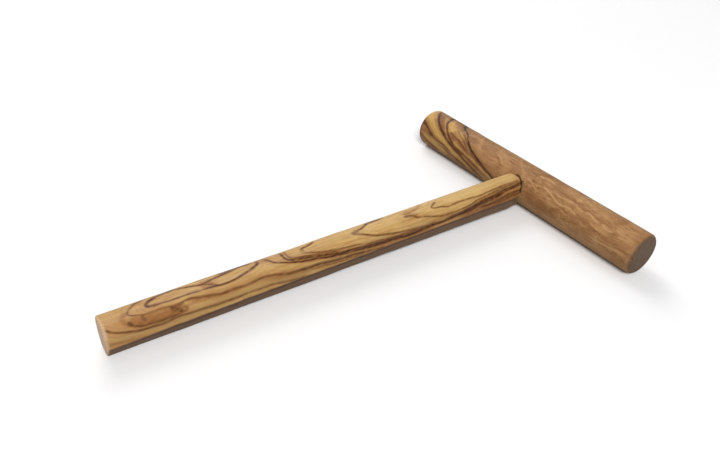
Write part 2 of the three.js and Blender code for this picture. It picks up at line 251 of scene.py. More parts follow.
CROSSBAR_FIGURE = (
    # Golden wood of the far third.
    ("gold", 5, 0.95, ((64, 7.5), (62, 5.5), (60, 4.2), (58.4, 2.6))),
    ("gold", 2.8, 0.95, ((60, 3.8), (57, 1.9), (53, -0.2), (49, -1.9), (45, -3.1), (41, -4.4))),
    ("gold", 1.7, 0.9, ((43, -3.9), (38, -5.1), (33, -6), (28, -7.2), (24, -8.2))),
    ("gold", 2.8, 0.95, ((49.2, 7), (47, 5.4), (44.6, 4.2), (42.6, 3.4))),
    ("gold", 1.9, 0.7, ((43, 5.4), (40.6, 4.4), (38, 3.2), (35, 2))),
    ("gold", 0.6, 0.85, ((53.6, 8.4), (52.4, 6.6), (50.8, 4.8), (48.4, 2.8), (45.6, 0.9))),
    ("gold", 1.5, 0.9, ((39.4, -0.6), (37, -1.2), (34.4, -2), (32, -3))),
    ("gold", 0.7, 0.8, ((33, -2.2), (29, -2.9), (25, -3.3), (20, -4.8), (15, -5.8), (9, -7.2))),
    ("gold", 0.8, 0.6, ((60, -4.4), (56, -5.1), (51, -5.3), (47, -4.8))),
    ("gold", 2.2, 0.75, ((60, -5.8), (55, -6.3), (49, -6.7), (42, -7.2))),
    ("gold", 0.6, 0.6, ((31, -4.6), (26, -5.6), (20, -6.9), (14, -8))),
    # Brown wood between the bands.
    ("stain", 2.4, 0.75, ((57, 7.6), (54.6, 5.6), (51.6, 3.4), (48, 1.2))),
    ("stain", 2.2, 0.6, ((48, 8.6), (44, 8.2), (42, 6.6), (39, 5.2))),
    ("stain", 1.6, 0.65, ((43, 1.2), (39, 0.6), (35, -0.4), (31, -1.4), (27, -2.4))),
    ("stain", 1.8, 0.6, ((44, -1.4), (40, -2), (36, -3), (30, -4.2), (22, -5.8), (14, -7.2))),
    ("stain", 1.6, 0.7, ((63.4, 1.2), (62.6, -1.8), (61.6, -4.4))),
    ("stain", 2.4, 0.45, ((61, -3.2), (56, -3.9), (50, -4.4), (43, -5.8))),
    ("stain", 1.8, 0.6, ((36, -6.8), (30, -7.8), (24, -8.6))),
    # Bold bands that run down and along the bar.
    ("dark", 0.7, 0.8, ((59.8, 8.8), (58.6, 7.2), (56.8, 5.8), (54.6, 4.2), (52, 2.6))),
    ("dark", 0.8, 0.78, ((58, 8), (56, 5.2), (53.6, 3.4), (50.6, 1.6), (47.6, 0.3), (44.6, -0.9))),
    ("dark", 1, 0.7, ((53.6, 2.8), (50.4, 1), (47, -0.3), (43.6, -1.7), (40.4, -3))),
    ("dark", 0.9, 0.72, ((43, -1.9), (39, -3.2), (36, -4.2), (33, -4.9), (29, -5.8), (24, -6.9),
                         (18, -8.2))),
    ("dark", 0.8, 0.88, ((51.2, 9), (50.6, 7.2), (50, 5.8), (48.8, 4.3), (47, 2.8), (45.4, 1.3))),
    ("dark", 0.8, 0.75, ((46, 1.8), (43.6, 0.2), (41.4, -1), (39, -2.3), (35.6, -3.4), (31, -4.2))),
    ("dark", 1.4, 0.75, ((52.2, 9.2), (51.2, 8.6), (50.6, 7.9))),
    ("dark", 0.6, 0.5, ((44.6, 2.3), (41, 1.7), (37, 0.8), (33, -0.5), (29.6, -1.4))),
    ("dark", 0.5, 0.45, ((42, 4.8), (39, 3.6), (36, 2.4), (33, 1), (30.6, -0.1))),
    ("dark", 0.5, 0.45, ((38, 5.2), (35, 3.6), (32, 1.8), (30, 0.6))),
    ("dark", 0.5, 0.5, ((37, -2.2), (34, -3.1), (30, -3.6), (26, -4.5), (20, -6))),
    ("dark", 1.4, 0.85, ((63.6, 1.6), (61.4, 0), (59.2, -0.8))),
    ("dark", 0.9, 0.8, ((60, -0.4), (57.4, -1.6), (55.2, -2.6), (52.6, -3.6))),
    ("dark", 0.6, 0.55, ((56, -3.2), (51, -4.2), (45, -4.6), (39, -5.8))),
    ("dark", 0.9, 0.55, ((62.6, -5.6), (58, -6.8), (54, -7.6), (48, -8.2))),
    ("dark", 0.5, 0.5, ((46, -5.6), (40, -6.6), (34, -7.2), (28, -8.2))),
    # The drying crack at the edge of the figured wood, and the band it turns into.
    ("black", 0.8, 1, ((43.8, 9), (42, 8.3), (40.6, 7.4), (39.4, 6.6), (38, 6.3))),
    ("black", 0.55, 1, ((39, 6.5), (36.8, 6), (35.2, 5.3), (34.2, 4.4), (33, 3.3))),
    ("black", 0.4, 0.75, ((33.6, 3.9), (31.4, 2.2), (29.4, 0.9), (27.6, 0), (26, -0.5))),
    ("dark", 0.9, 0.85, ((33, 3.3), (30.6, 1.6), (28, 0), (25.6, -0.8), (23, -1.7), (19.5, -3))),
    ("dark", 1, 0.75, ((24, -1.3), (20, -2.8), (16, -4), (11, -5.6), (6, -7.2))),
    ("dark", 0.5, 0.5, ((28, -1), (24, -2.4), (19, -3.8), (13, -5.2))),
    # The dark seam where the handle's end stands off the bar, painted partly as glue-darkened wood and
    # partly as the shadow in the open gap.
    ("black", 0.8, 1, ((0.8, 1), (-0.9, 1.2), (-2.3, 0.9), (-3.4, 0.1), (-4.2, -0.8), (-4.8, -1.8))),
    ("black", 1.2, 1, ((-3.4, 0.1), (-4.4, -1.2), (-5.1, -2.5), (-5.5, -3.8), (-5.4, -4.8))),
    ("black", 0.4, 0.9, ((-3.4, 0), (-4.3, 0.3), (-5.2, 0.8))),
    # Curly sheen along the plain part.
    ("pale", 0.6, 0.35, ((29, 8.2), (27, 6), (25.4, 3.5), (24.6, 1))),
    ("stain", 0.7, 0.4, ((26.5, 7.6), (24.4, 5.4), (22.8, 4.4), (20, 3.8))),
    ("pale", 0.6, 0.32, ((15, 5.4), (12, 4), (10, 2.4), (8.6, 0.8))),
    ("stain", 0.7, 0.6, ((17.4, 4.6), (15, 4), (12.8, 3), (10.6, 1.6), (8, 1))),
    ("pale", 0.7, 0.3, ((5, 8.2), (2.4, 6.4), (-0.6, 4.6), (-3.4, 3.6))),
    ("stain", 0.5, 0.5, ((-3, 6.6), (-7, 5.6), (-12, 5.4), (-16, 5.7), (-21, 4.8), (-26, 4))),
    ("pale", 0.6, 0.45, ((-9, 6.2), (-12, 6.3), (-15, 6.6), (-18, 6))),
    ("pale", 0.6, 0.7, ((-13.5, 3.2), (-16, 2.6), (-19, 1.9), (-22, 0.9), (-25, 0), (-28, 0.3))),
    ("pale", 0.6, 0.5, ((-27, 0.2), (-30, 0.8), (-32.4, 0.3), (-34.5, -0.3))),
    ("pale", 0.6, 0.5, ((-20, 3.6), (-24, 2.8), (-28, 3), (-30.6, 3.6), (-33, 2.6), (-36, 2.3))),
    ("pale", 0.7, 0.6, ((-37, 2.6), (-39, 3), (-41.6, 2.2), (-44.4, 1.8))),
    ("pale", 0.5, 0.7, ((-45.4, 2.2), (-47.2, 1.6), (-49.2, 1.3), (-51.6, 1.6))),
    ("pale", 0.6, 0.5, ((-41, 0.2), (-44, -0.5), (-47, -0.8), (-51, -0.9))),
    ("pale", 0.6, 0.4, ((-52, 3), (-55, 2.4), (-58, 2.6), (-61, 2.2))),
    ("pale", 0.6, 0.4, ((-54, 0.8), (-57.4, 1.3), (-61, 1))),
    ("pale", 0.7, 0.45, ((-46, -4.9), (-50, -4.7), (-54, -4.3), (-57.6, -3.8), (-61, -3.9))),
    ("stain", 0.6, 0.5, ((-23, 4.6), (-28, 4.2), (-33, 4.3), (-38, 3.8), (-43, 3.1), (-50, 2.7))),
    ("stain", 0.7, 0.4, ((-26, -1.2), (-32, -1.6), (-38, -0.8), (-44, -1.7), (-52, -2.2), (-60, -1.4))),
    ("stain", 0.7, 0.4, ((-30, -4.4), (-35, -3.6), (-41, -2.8), (-46, -3.3))),
    # A broad darker patch on the bar, in the corner beside the handle's near side.
    ("stain", 3.4, 0.5, ((-8, -3), (-13, -4), (-19, -4.8), (-25, -4.6))),
    ("pale", 2.4, 0.22, ((-20, 7.3), (-30, 6.6), (-42, 6), (-50, 5.6))),
    # Painted light: a pale band along the bar's lower near side stands in for light bounced up from the
    # floor.
    ("pale", 3, 0.4, ((22, -7.6), (8, -8.4), (-6, -8.6), (-30, -8.6), (-62, -8.4))),
)

MASKS = ("dark", "stain", "pale", "gold", "black")
TONES = ("warm", "painted_shade", "end", "edge")
STROKE_CRISPNESS = 6.0
STROKE_REACH = 2.2
STROKE_TAPER = 0.12
SKIRT_SHARE = 0.28
HALO_SHARE = 0.6
ECHO_PITCH = 1.25
ECHO_SHARE = 0.6
ECHO_REACH = 2.2

# ------------ colours, as sRGB 0-255

HANDLE_LOOK = {
    "light": (208, 172, 110),
    "deep": (174, 131, 74),
    "warm": (184, 139, 88),
    "stain": (142, 90, 46),
    "dark": (56, 24, 9),
    "pale": (212, 178, 112),
    "gold": (200, 164, 104),
    # Painted shade: the dark brown laid on the handle's lower facet below the arris, standing in for the
    # shade towards the floor.
    "painted_shade": (100, 78, 62),
    "end": (216, 188, 156),
    "black": (34, 24, 20),
    "ring": (176, 138, 100),
    "pith": (0.0, 3.0, 16.0),
    "mottle": 0.1,
    "curl": 0.1,
    "waver": 1.0,
    "roughness": 0.46,
}
CROSSBAR_LOOK = {
    "light": (173, 130, 86),
    "deep": (132, 90, 51),
    "warm": (148, 106, 68),
    "stain": (122, 76, 38),
    "dark": (58, 28, 12),
    "pale": (206, 164, 114),
    "gold": (206, 164, 92),
    "painted_shade": (150, 108, 66),
    "end": (98, 78, 60),
    "black": (20, 14, 12),
    "ring": (72, 52, 38),
    "pith": (96.0, 0.0, 20.0),
    "mottle": 0.5,
    "curl": 0.4,
    "waver": 3.0,
    "roughness": 0.48,
}
# The pin has no drawn figure, so only these parts of its look show.
DOWEL_LOOK = {
    **HANDLE_LOOK,
    "light": (226, 200, 158),
    "deep": (204, 172, 126),
    "dark": (140, 104, 68),
    "mottle": 0.0,
    "curl": 0.0,
    "waver": 0.4,
    "roughness": 0.68,
}
GLUE_COLOUR = (44, 30, 22)
GLUE_DUST_COLOUR = (120, 92, 66)
DUST_SPECKS_PER_METRE = 1500


def linear(colour):
    """An sRGB colour of 0-255 as linear RGBA."""
    channels = []
    for value in colour:
        share = value / 255
        channels.append(share / 12.92 if share <= 0.04045 else ((share + 0.055) / 1.055) ** 2.4)
    return (*channels, 1.0)


def unit(vector):
    return vector / np.linalg.norm(vector)


def ripple(points, wavelengths, seed, count=28):
    """Smooth seeded noise between about -1 and 1. Points and wavelengths share axes."""
    random = np.random.default_rng(seed)
    total = np.zeros(len(points))
    for _ in range(count):
        direction = unit(random.normal(size=len(wavelengths)))
        pitch = direction * random.uniform(0.6, 1.6) * 2 * math.pi / np.array(wavelengths)
        total += np.sin(points @ pitch + random.uniform(0, 2 * math.pi))
    return total / math.sqrt(count)


# ------------ the grain figure on a mesh


def smooth_line(points, steps=6):
    """A Catmull-Rom curve through the points, as short straight pieces."""
    points = np.array(points, float)
    padded = np.vstack((2 * points[0] - points[1], points, 2 * points[-1] - points[-2]))
    curve = []
    for first in range(len(points) - 1):
        a, b, c, d = padded[first : first + 4]
        square, cube = 2 * a - 5 * b + 4 * c - d, 3 * b - a - 3 * c + d
        for t in np.linspace(0, 1, steps, endpoint=False):
            curve.append(0.5 * (2 * b + (c - a) * t + square * t**2 + cube * t**3))
    curve.append(points[-1])
    return np.array(curve)


def stroke_mask(places, width, points, pitch):
    """How strongly a grain stroke's core, its soft skirt and its finer echoes cover each place."""
    curve = smooth_line(points)
    reach = max(STROKE_REACH * width, 2.5 * ECHO_REACH)
    low, high = curve.min(0) - reach, curve.max(0) + reach
    near = np.flatnonzero(np.all((places > low) & (places < high), axis=1))
    core, skirt, echo = np.zeros((3, len(places)))
    if not len(near):
        return core, skirt, echo
    here = places[near]
    best = np.full(len(near), np.inf)
    share = np.zeros(len(near))
    for index in range(len(curve) - 1):
        start, step = curve[index], curve[index + 1] - curve[index]
        t = np.clip((here - start) @ step / (step @ step), 0, 1)
        distance = np.linalg.norm(here - start - t[:, None] * step, axis=1)
        closer = distance < best
        best[closer] = distance[closer]
        share[closer] = (index + t[closer]) / (len(curve) - 1)
    taper = np.clip(np.minimum(share, 1 - share) / STROKE_TAPER, 0, 1) ** 0.7
    half = 0.5 * width * (0.45 + 0.55 * taper)
    fade = 0.3 + 0.7 * taper
    core[near] = fade / (1 + np.exp((best / half - 1) * STROKE_CRISPNESS))
    skirt[near] = fade * np.exp(-((best / half / 2.0) ** 2))
    waves = 0.5 + 0.5 * np.cos(2 * math.pi * (best - 0.3 * width) / pitch)
    echo[near] = waves**2 * np.exp(-best / ECHO_REACH) * taper
    return core, skirt, echo


def figure_masks(along, across, strokes, seed):
    """Each kind of grain stroke as one mask over the mesh's points."""
    places = np.column_stack((along, across))
    bend = (ripple(places, (10, 8), seed) * 0.16, ripple(places, (9, 6), seed + 1) * 0.09)
    bent = places + np.column_stack(bend)
    patchy = 0.88 + 0.16 * ripple(places, (4.0, 0.9), seed + 2)
    masks = {kind: np.ones(len(places)) for kind in MASKS}
    for number, (kind, width, strength, points) in enumerate(strokes):
        pitch = ECHO_PITCH * (1 + 0.08 * (number % 5))
        core, skirt, echo = stroke_mask(bent, width, points, pitch)
        cover = strength * patchy
        if kind == "dark":
            masks["stain"] *= 1 - np.clip(cover * (ECHO_SHARE * echo + HALO_SHARE * skirt), 0, 1)
        else:
            core = (1 - SKIRT_SHARE) * core + SKIRT_SHARE * skirt
        masks[kind] *= 1 - np.clip(cover * core, 0, 1)
    return {kind: 1 - left for kind, left in masks.items()}


def store_masks(mesh, masks):
    """Puts each named mask on the mesh's points, where the materials read it."""
    for name, mask in masks.items():
        attribute = mesh.attributes.new(name, "FLOAT", "POINT")
        attribute.data.foreach_set("value", np.asarray(mask, np.float32))


def points_of(mesh):
    """The mesh's vertices in mm."""
    flat = np.empty(len(mesh.vertices) * 3, np.float32)
    mesh.vertices.foreach_get("co", flat)
    return flat.reshape(-1, 3).astype(float) / MM


# ------------ meshes


def mesh_from_rings(name, rings, first_centre, last_centre):
    """A closed mesh whose rings of points, in mm, are joined in turn and capped at both ends."""
    count, around, _ = rings.shape
    points = np.vstack((rings.reshape(-1, 3), first_centre, last_centre)) * MM
    faces = quads_between(np.arange(count - 1), np.arange(1, count), around)
    first, last = count * around, count * around + 1
    final_ring = (count - 1) * around
    for side in range(around):
        following = (side + 1) % around
        faces.append((first, following, side))
        faces.append((last, final_ring + side, final_ring + following))
    return link_mesh(name, points, faces)


def quads_between(rings, next_rings, around):
    """The four-sided faces that join each ring of points to the next one."""
    start, beyond = rings[:, None] * around, next_rings[:, None] * around
    here = np.arange(around)[None, :]
    after = (here + 1) % around
    quads = np.stack((start + here, start + after, beyond + after, beyond + here), -1)
    return quads.reshape(-1, 4).tolist()


def link_mesh(name, points, faces):
    """A smooth piece with the front of every face on the outside. Points are in metres."""
    mesh = bpy.data.meshes.new(name)
    mesh.from_pydata(points.tolist(), [], faces)
    mesh.update()
    mesh.shade_smooth()
    work = bmesh.new()
    work.from_mesh(mesh)
    bmesh.ops.recalc_face_normals(work, faces=work.faces)
    work.to_mesh(mesh)
    work.free()
    return link_object(name, mesh)


def link_object(name, data):
    item = bpy.data.objects.new(name, data)
    bpy.context.scene.collection.objects.link(item)
    return item


def rounded_outline(corners):
    """Points round a polygon. Each corner: (across, up, radius, arc points, points on the next side)."""
    arcs = []
    for index, (across, up, radius, steps, _) in enumerate(corners):
        here = np.array((across, up))
        before = unit(np.array(corners[index - 1][:2]) - here)
        after = unit(np.array(corners[(index + 1) % len(corners)][:2]) - here)
        half_angle = math.acos(before @ after) / 2
        centre = here + unit(before + after) * radius / math.sin(half_angle)
        start = here + before * radius / math.tan(half_angle) - centre
        end = here + after * radius / math.tan(half_angle) - centre
        first = math.atan2(start[1], start[0])
        turn = (math.atan2(end[1], end[0]) - first + math.pi) % (2 * math.pi) - math.pi
        angles = first + turn * np.linspace(0, 1, steps)
        arcs.append(centre + radius * np.column_stack((np.cos(angles), np.sin(angles))))
    outline = []
    for index, arc in enumerate(arcs):
        outline.append(arc)
        following = arcs[(index + 1) % len(arcs)][0]
        between = np.linspace(0, 1, corners[index][4] + 2)[1:-1, None]
        outline.append(arc[-1] + between * (following - arc[-1]))
    return np.vstack(outline)


def section_outline(section):
    half, low_half = section["half_width"], section["bottom_half_width"]
    bottom, arris, top = section["bottom"], section["arris"], section["top"]
    upper = section["corner_radius"]
    corners = (
        (-low_half, bottom, BOTTOM_EDGE_RADIUS, 5, 10),
        (low_half, bottom, BOTTOM_EDGE_RADIUS, 5, 14),
        (half, arris, ARRIS_RADIUS, 5, 16),
        (half, top, upper, 26, 12),
        (-half, top, upper, 26, 16),
        (-half, arris, ARRIS_RADIUS, 5, 14),
    )
    return rounded_outline(corners)


def bore_outline(outline, centre):
    """The bore's circle, point for point with an outline round it."""
    offset = outline - centre
    angle = np.arctan2(offset[:, 1], offset[:, 0])
    return centre + BORE_RADIUS * np.column_stack((np.cos(angle), np.sin(angle)))


def joint_gap(outline, axis_height):
    """How far the coped end stands off the bar: tight, but open along one upper corner."""
    side = np.clip((-outline[:, 0] - 1.0) / 3.0, 0, 1)
    height = np.clip((outline[:, 1] - axis_height + 0.5) / 2.0, 0, 1)
    ragged = 0.75 + 0.25 * np.sin(outline[:, 1] * 2.9 + 0.7)
    return COPE_CLEARANCE + JOINT_OPENING * side * height * ragged


def make_handle(bar_x, bar_z, bar_radius):
    free_outline = section_outline(SECTION_AT_FREE_END)
    bar_outline = section_outline(SECTION_AT_CROSSBAR)
    joint_outline = section_outline(SECTION_AT_JOINT)
    free_x = bar_x - HANDLE_REACH
    reach = bar_x - bar_radius - free_x
    bar_centre = np.array((0, bar_z))
    free_centre = np.array((0, middle_height(SECTION_AT_FREE_END)))
    slant = (free_outline - free_centre) @ np.array(FREE_END_SLANT)

    def cope_x(outline, gap):
        """Where the coped end meets the bar at each point of an outline."""
        return bar_x - np.sqrt((bar_radius + gap) ** 2 - (outline[:, 1] - bar_z) ** 2)

    def ring(x, outline):
        return np.column_stack((np.broadcast_to(x, len(outline)), outline))

    rings = []
    widest = SECTION_AT_FREE_END["half_width"]
    flat = 1 - FREE_END_EDGE_RADIUS / widest
    for scale in np.linspace(0.06, flat, END_FACE_RINGS):
        x = free_x + scale * slant + END_DOME * scale**2
        rings.append(ring(x, free_centre + scale * (free_outline - free_centre)))
    for angle in np.linspace(0, math.pi / 2, EDGE_STEPS + 1)[1:]:
        scale = 1 - FREE_END_EDGE_RADIUS * (1 - math.sin(angle)) / widest
        x = free_x + scale * slant + END_DOME + (FREE_END_EDGE_RADIUS - END_DOME) * (1 - math.cos(angle))
        rings.append(ring(x, free_centre + scale * (free_outline - free_centre)))
    gap = joint_gap(joint_outline, bar_z)
    first_x = free_x + slant + FREE_END_EDGE_RADIUS
    last_x = cope_x(joint_outline, gap) - COPE_EDGE_RADIUS
    for share in np.linspace(0, 1, HANDLE_RINGS)[1:]:
        x = first_x + share * (last_x - first_x)
        along = np.clip((x - free_x)[:, None] / reach, 0, 1)
        outline = free_outline + along * (bar_outline - free_outline)
        pared = np.clip(1 - (bar_x - bar_radius - x)[:, None] / PARING_LENGTH, 0, 1)
        rings.append(ring(x, outline + pared**1.5 * (joint_outline - outline)))
    bore = bore_outline(joint_outline, bar_centre)
    for share in np.linspace(0.02, 1, COPE_RINGS):
        outline = joint_outline + share * (bore - joint_outline)
        rings.append(ring(cope_x(outline, gap * (1 - share) + COPE_CLEARANCE * share), outline))
    bore_end = bar_x - bar_radius - DOWEL_CENTRE_INTO_HANDLE - DOWEL_LENGTH / 2 - BORE_END_CLEARANCE
    for x in np.linspace(bar_x - bar_radius, bore_end, BORE_RINGS)[1:]:
        rings.append(ring(x, bore))
    rings = np.array(rings)

    body = slice(END_FACE_RINGS + 1, END_FACE_RINGS + EDGE_STEPS + HANDLE_RINGS)
    flat_points = rings[body].reshape(-1, 3)
    fade = np.clip((bar_x - bar_radius - flat_points[:, 0]) / WOBBLE_FADE, 0, 1)
    long_wave, short_wave = HANDLE_WAVES
    for axis, seed in ((1, 11), (2, 12)):
        wobble = ripple(flat_points, long_wave, seed) + 0.4 * ripple(flat_points, short_wave, seed + 5)
        rest = flat_points[:, axis].copy()
        moved = rest + HANDLE_WOBBLE * wobble * fade
        flat_points[:, axis] = np.maximum(moved, 0) if axis == 2 else moved
    rings[body] = flat_points.reshape(rings[body].shape)
    start = (free_x, *free_centre)
    end = (bore_end, 0, bar_z)
    return mesh_from_rings("handle_body", rings, start, end)


def round_rings(half, radius, edge, body_rings, cap_rings):
    """(place along the axis, radius) of each ring of a turned piece with rounded ends."""
    cap = [(-half, share * (radius - edge)) for share in np.linspace(0.05, 1, cap_rings)]
    for angle in np.linspace(0, math.pi / 2, EDGE_STEPS + 1)[1:]:
        cap.append((edge * (1 - math.cos(angle)) - half, radius - edge * (1 - math.sin(angle))))
    body = [(place, radius) for place in np.linspace(edge - half, half - edge, body_rings)[1:-1]]
    return cap + body + [(-place, width) for place, width in reversed(cap)]


def make_crossbar(bar_x, bar_z, bar_radius, half_length):
    profile = round_rings(half_length, bar_radius, CROSSBAR_EDGE_RADIUS, CROSSBAR_RINGS, END_FACE_RINGS)
    angles = np.arange(CROSSBAR_SIDES) * 2 * math.pi / CROSSBAR_SIDES
    circle = np.column_stack((np.cos(angles), np.zeros(CROSSBAR_SIDES), np.sin(angles)))
    rings = np.array([circle * width + (0, place, 0) for place, width in profile])
    flat_points = rings.reshape(-1, 3)
    long_wave, short_wave = CROSSBAR_WAVES
    wobble = ripple(flat_points, long_wave, 21) + 0.5 * ripple(flat_points, short_wave, 22)
    across = np.hypot(flat_points[:, 0], flat_points[:, 2])
    shrink = 1 - CROSSBAR_WOBBLE * (1 + 0.6 * wobble) / bar_radius * (across / bar_radius) ** 4
    flat_points[:, (0, 2)] *= shrink[:, None]
    ends = np.abs(flat_points[:, 1]) > half_length - 0.01
    flat_points[ends, 1] *= 1 - END_FACE_UNEVENNESS * (1 + ripple(flat_points[ends], END_FACE_WAVES, 23))
    rings = flat_points.reshape(rings.shape) + (bar_x, 0, bar_z)
    centres = [(bar_x, place, bar_z) for place in (-half_length, half_length)]
    bar = mesh_from_rings("crossbar_body", rings, *centres)
    cut_bore(bar, bar_x, bar_z, bar_radius)
    return bar


def cut_bore(bar, bar_x, bar_z, bar_radius):
    """Cuts the dowel's blind hole into the side of the crossbar."""
    length = DOWEL_LENGTH + 2 * BORE_END_CLEARANCE
    middle = bar_x - bar_radius - DOWEL_CENTRE_INTO_HANDLE
    angles = np.arange(BORE_CUTTER_SIDES) * 2 * math.pi / BORE_CUTTER_SIDES
    rings, ends = [], []
    for x in (middle - length / 2, middle + length / 2):
        width = np.full(BORE_CUTTER_SIDES, x)
        circle = (width, BORE_RADIUS * np.cos(angles), bar_z + BORE_RADIUS * np.sin(angles))
        rings.append(np.column_stack(circle))
        ends.append((x, 0, bar_z))
    cutter = mesh_from_rings("bore_cutter", np.array(rings), *ends)
    cut = bar.modifiers.new("bore", "BOOLEAN")
    cut.operation = "DIFFERENCE"
    cut.solver = "EXACT"
    cut.object = cutter
    graph = bpy.context.evaluated_depsgraph_get()
    whole = bar.data
    bar.data = bpy.data.meshes.new_from_object(bar.evaluated_get(graph))
    bar.modifiers.clear()
    bpy.data.meshes.remove(whole)
    bpy.data.objects.remove(cutter)


def make_dowel(bar_x, bar_z, bar_radius):
    """A beech pin with pressed flutes that let the glue spread."""
    sides = DOWEL_FLUTES * SIDES_PER_FLUTE
    profile = round_rings(DOWEL_LENGTH / 2, DOWEL_RADIUS, DOWEL_CHAMFER, DOWEL_RINGS, DOWEL_END_RINGS)
    angles = np.arange(sides) * 2 * math.pi / sides
    flute = np.clip(np.cos(angles * DOWEL_FLUTES), 0, 1) ** 2
    middle = bar_x - bar_radius - DOWEL_CENTRE_INTO_HANDLE
    rings = []
    for place, width in profile:
        depth = DOWEL_FLUTE_DEPTH * flute * np.clip((width - 1.8) / 1.2, 0, 1)
        radius = width - depth
        x = np.full(sides, middle + place)
        rings.append(np.column_stack((x, radius * np.cos(angles), bar_z + radius * np.sin(angles))))
    ends = [(middle + sign * DOWEL_LENGTH / 2, 0, bar_z) for sign in (-1, 1)]
    return mesh_from_rings("dowel_body", np.array(rings), *ends)


def make_glue_line(bar_x, bar_z, bar_radius):
    """The thin dried bead of glue in the seam round the coped end."""
    outline = section_outline(SECTION_AT_JOINT)
    gap = joint_gap(outline, bar_z)
    inward = np.array((0, bar_z)) - outline
    inward /= np.linalg.norm(inward, axis=1)[:, None]
    bead = GLUE_BEAD + GLUE_SWELL * (gap - COPE_CLEARANCE)
    depth = bead + GLUE_DEPTH + 0.05 * np.sin(outline[:, 1] * 5 + outline[:, 0] * 3)
    middle = bar_radius + 0.5 * gap
    rings = []
    for turn in np.arange(GLUE_SIDES) * 2 * math.pi / GLUE_SIDES:
        seam = outline + inward * (depth + bead * math.cos(turn))[:, None]
        x = bar_x - np.sqrt(middle**2 - (seam[:, 1] - bar_z) ** 2) + 0.5 * bead * math.sin(turn)
        rings.append(np.column_stack((x, seam)))
    sides = np.arange(GLUE_SIDES)
    faces = quads_between(sides, (sides + 1) % GLUE_SIDES, len(outline))
    return link_mesh("glue_line", np.vstack(rings) * MM, faces)


# ------------ figure and wear on the pieces


def middle_height(section):
    return (section["bottom"] + section["top"]) / 2


def across_and_depth(shares, sideways, height):
    """Places across the drawn figure, and how far back they lie."""
    side, up = shares
    return side * sideways + up * height, up * sideways - side * height


def figure_handle(piece, free_x):
    points = points_of(piece.data)
    along = points[:, 0] - free_x
    share = np.clip(along / FIGURE_LENGTH, 0, 1)
    free_middle, bar_middle = middle_height(SECTION_AT_FREE_END), middle_height(SECTION_AT_CROSSBAR)
    middle = free_middle + share * (bar_middle - free_middle)
    across, depth = across_and_depth(HANDLE_ACROSS, points[:, 1], points[:, 2] - middle)
    face = np.interp(across, HANDLE_FACE_ACROSS, HANDLE_FACE_DEPTH)
    below = np.clip(depth - face - HANDLE_GRAIN["skin"], 0, GRAIN_REACH)
    drift = along + HANDLE_GRAIN["lean"] * below + 0.8 * np.sin(below * 0.5)
    curve = across + HANDLE_GRAIN["sway"] * below * np.sin(along * 0.06)
    masks = figure_masks(drift, curve, HANDLE_FIGURE, 31)
    section = {
        key: value + share * (SECTION_AT_CROSSBAR[key] - value)
        for key, value in SECTION_AT_FREE_END.items()
    }
    arris = np.hypot(np.abs(points[:, 1]) - section["half_width"], points[:, 2] - section["arris"])
    low = np.hypot(np.abs(points[:, 1]) - section["bottom_half_width"], points[:, 2] - section["bottom"])
    distances = {"arris": arris, "bottom": low, "end": along}
    worn = np.maximum.reduce([near(distances[edge], reach) for edge, reach in HANDLE_WEAR.items()])
    masks["edge"] = worn * (0.8 + 0.2 * ripple(points, (6, 3, 3), 33))
    upper = np.clip((across - 2.5) / 2.5, 0, 1)
    warm = np.clip(1.15 - along / WARM_LENGTH + 0.2 * ripple(points, (30, 8, 8), 34), 0, 1)
    masks["warm"] = warm * (1 - 0.6 * upper)
    # Painted shade: the lower facet below the arris is darkened to stand in for the shade it lies in near
    # the floor.
    masks["painted_shade"] = 0.85 * np.clip((section["arris"] - points[:, 2]) / 0.5 + 0.5, 0, 1)
    masks["end"] = 0.8 * np.clip((0.8 - along) / 0.5, 0, 1)
    store_masks(piece.data, masks)


def figure_crossbar(piece, bar_x, bar_z, bar_radius, half_length):
    points = points_of(piece.data)
    sideways, height = points[:, 0] - bar_x, points[:, 2] - bar_z
    across, depth = across_and_depth(CROSSBAR_ACROSS, sideways, height)
    face = -np.sqrt(np.clip(bar_radius**2 - across**2, 0, None))
    below = np.clip(depth - face - CROSSBAR_GRAIN["skin"], 0, GRAIN_REACH)
    drift = points[:, 1] + CROSSBAR_GRAIN["lean"] * below
    curve = across + CROSSBAR_GRAIN["sway"] * below * np.sin(points[:, 1] * 0.07 + 0.6)
    masks = figure_masks(drift, curve, CROSSBAR_FIGURE, 41)
    corner = np.hypot(np.hypot(sideways, height) - bar_radius, np.abs(points[:, 1]) - half_length)
    masks["edge"] = near(corner, CROSSBAR_WEAR) * (0.8 + 0.2 * ripple(points, (3, 3, 3), 43))
    masks["warm"] = np.clip(0.25 + 0.4 * ripple(points, (30, 9, 9), 44), 0, 1)
    # The crossbar gets none of the painted shade.
    masks["painted_shade"] = np.zeros(len(points))
    from_end = half_length - np.abs(points[:, 1])
    masks["end"] = 0.9 * np.clip((1.5 - from_end) / 1.2, 0, 1)
    store_masks(piece.data, masks)


def plain_figure(piece):
    """No drawn figure: the shader's own fibres are enough."""
    nothing = np.zeros(len(piece.data.vertices))
    store_masks(piece.data, dict.fromkeys(MASKS + TONES, nothing))


def near(distance, reach):
    """1 at no distance, easing to 0 at the reach."""
    return np.clip(1 - distance / reach, 0, 1) ** 1.5


# ------------ materials


